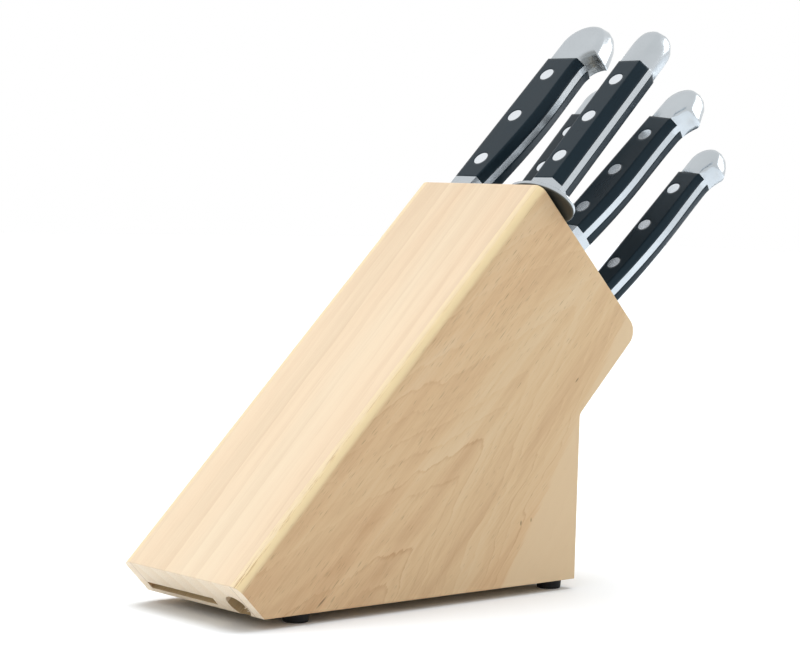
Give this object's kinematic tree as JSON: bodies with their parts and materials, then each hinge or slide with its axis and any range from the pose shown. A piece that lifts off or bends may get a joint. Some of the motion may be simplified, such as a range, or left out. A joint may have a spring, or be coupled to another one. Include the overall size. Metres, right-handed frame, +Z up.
{
  "type": "knife block with knives",
  "caption": "Slanted beech knife block on rubber feet, holding forged knives with riveted black handles and a sharpening steel that slide out along the slope.",
  "frame": {"origin": "bottom centre of the bounding box of the whole object, on the plane the rubber feet stand on", "axes": "+X from the toe of the block towards the handles, +Y across the block from the cheek beside the sharpening steel to the cheek beside the chef's knife, +Z up"},
  "size_m": [0.3146, 0.0932, 0.2803],
  "materials": {
    "beech": "sanded and lightly oiled",
    "foot_rubber": "matte",
    "screw_steel": "zinc plated",
    "black_scale": "satin black",
    "rivet_metal": "ground flush and polished",
    "knife_steel": "satin",
    "rod_steel": "finely ridged"
  },
  "bodies": {
    "block": {"near_cheek": "beech", "far_cheek": "beech", "top_board": "beech", "row_one_spacer": "beech", "second_board": "beech", "row_two_divider": "beech", "third_board": "beech", "row_three_spacer": "beech", "base_board": "beech", "base_wedge": "beech", "foot_near_front": "foot_rubber", "foot_far_front": "foot_rubber", "foot_near_back": "foot_rubber", "foot_far_back": "foot_rubber", "foot_screws": "screw_steel"},
    "chef_knife": {"chef_knife_forging": "knife_steel", "chef_knife_upper_scale": "black_scale", "chef_knife_lower_scale": "black_scale", "chef_knife_rivets": "rivet_metal"},
    "slicing_knife": {"slicing_knife_forging": "knife_steel", "slicing_knife_upper_scale": "black_scale", "slicing_knife_lower_scale": "black_scale", "slicing_knife_rivets": "rivet_metal"},
    "utility_knife": {"utility_knife_forging": "knife_steel", "utility_knife_upper_scale": "black_scale", "utility_knife_lower_scale": "black_scale", "utility_knife_rivets": "rivet_metal"},
    "paring_knife": {"paring_knife_forging": "knife_steel", "paring_knife_upper_scale": "black_scale", "paring_knife_lower_scale": "black_scale", "paring_knife_rivets": "rivet_metal"},
    "sharpening_steel": {"steel_rod": "rod_steel", "steel_guard": "knife_steel", "steel_tang": "knife_steel", "steel_upper_scale": "black_scale", "steel_lower_scale": "black_scale", "steel_rivets": "rivet_metal"}
  },
  "joints": [
    {"name": "chef_knife_lift", "type": "slide", "parent": "block", "child": "chef_knife", "axis": [0.7071, -0.0105, 0.7071], "range_m": [0, 0.216]},
    {"name": "slicing_knife_lift", "type": "slide", "parent": "block", "child": "slicing_knife", "axis": [0.707, 0.0157, 0.707], "range_m": [0, 0.196]},
    {"name": "utility_knife_lift", "type": "slide", "parent": "block", "child": "utility_knife", "axis": [0.7024, -0.1149, 0.7024], "range_m": [0, 0.135]},
    {"name": "paring_knife_lift", "type": "slide", "parent": "block", "child": "paring_knife", "axis": [0.7048, -0.0802, 0.7048], "range_m": [0, 0.104]},
    {"name": "sharpening_steel_lift", "type": "slide", "parent": "block", "child": "sharpening_steel", "axis": [0.707, 0.0131, 0.707], "range_m": [0, 0.22]}
  ]
}
